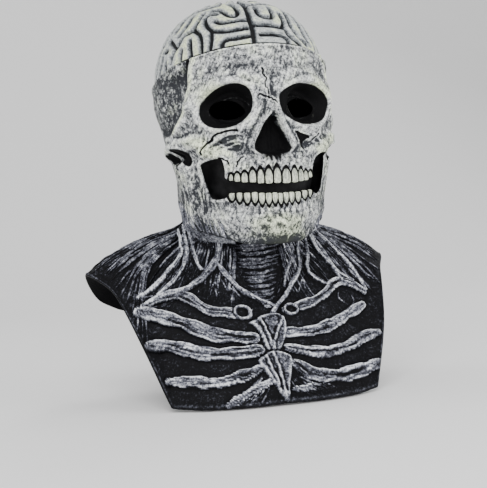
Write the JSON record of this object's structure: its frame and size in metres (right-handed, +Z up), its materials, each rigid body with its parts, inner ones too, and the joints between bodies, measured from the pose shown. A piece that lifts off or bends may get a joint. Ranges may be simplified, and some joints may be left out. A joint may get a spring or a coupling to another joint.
{
  "type": "skull mask",
  "caption": "Full-head moulded skull mask with exposed brain dome, eye holes, two rows of teeth, and a neck and chest bib with raised ribs and tendons.",
  "frame": {"origin": "inside of the crown, on the middle plane, where the mask sits on the wearer's head", "axes": "+Z up along the upright head, the face looks along -Y, +X to the mask's own left side"},
  "size_m": [0.3298, 0.2309, 0.4038],
  "materials": {
    "bone": "matt latex, black base with pale greenish white dry-brushed bone",
    "brain": "matt latex, pale yellow-green folds with black grooves",
    "teeth": "matt latex, ivory with dark roots",
    "black_latex": "matt black latex",
    "sinew": "black latex with grey dry-brushed ridges"
  },
  "bodies": {
    "root": {"skull": "bone", "brain": "brain", "upper_teeth": "teeth", "lower_teeth": "teeth", "mouth_backing": "black_latex", "bib": "sinew"}
  },
  "joints": []
}
